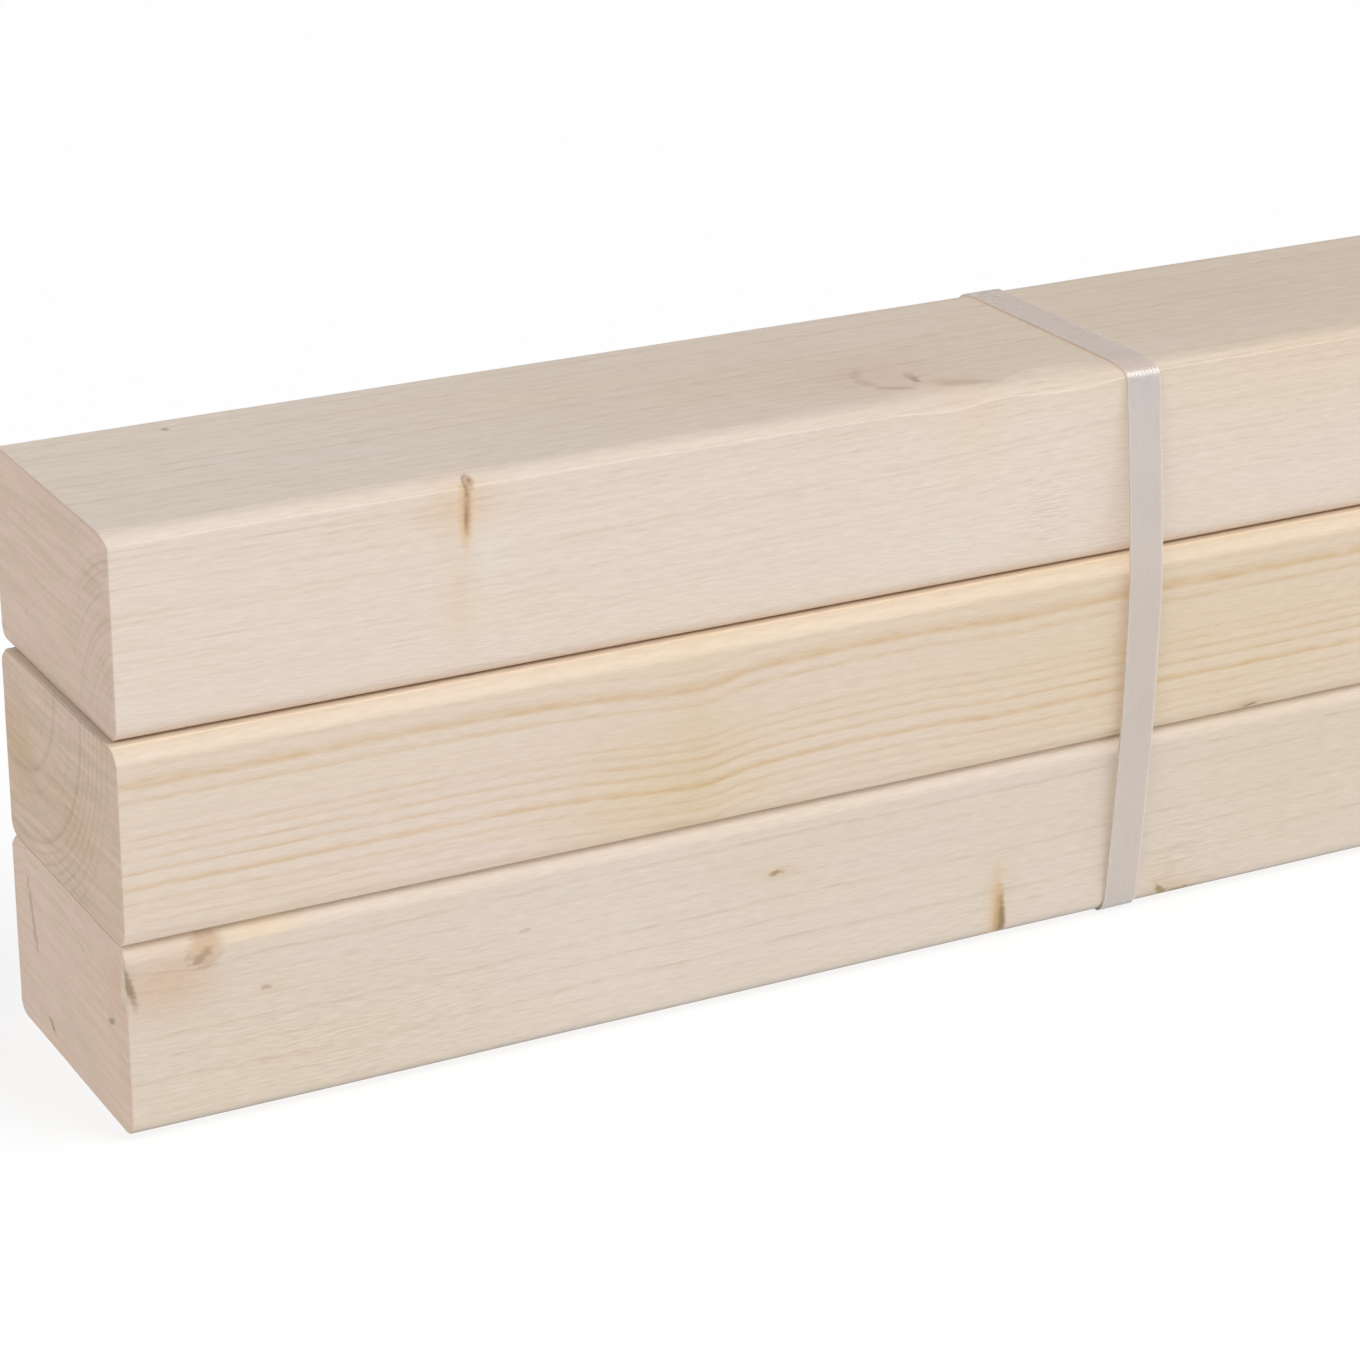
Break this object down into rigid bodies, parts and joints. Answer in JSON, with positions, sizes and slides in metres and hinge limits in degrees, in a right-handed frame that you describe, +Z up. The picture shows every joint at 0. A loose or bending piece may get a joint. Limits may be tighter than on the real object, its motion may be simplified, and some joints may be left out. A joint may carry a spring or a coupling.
{
  "type": "bundle of wooden battens",
  "caption": "Planed softwood battens with rounded arrises and square sawn ends, stacked flat and tied with welded plastic straps.",
  "frame": {"origin": "under the middle of the bundle, on the surface that its straps lie on", "axes": "+X along the battens, away from the end that the picture shows; +Y across them, away from the viewer; +Z up"},
  "size_m": [1.8018, 0.0752, 0.1362],
  "materials": {
    "planed_spruce": "satin",
    "strap_plastic": "satin"
  },
  "bodies": {
    "root": {"batten_bottom": "planed_spruce", "batten_middle": "planed_spruce", "batten_top": "planed_spruce", "strap_near": "strap_plastic", "strap_far": "strap_plastic"}
  },
  "joints": []
}
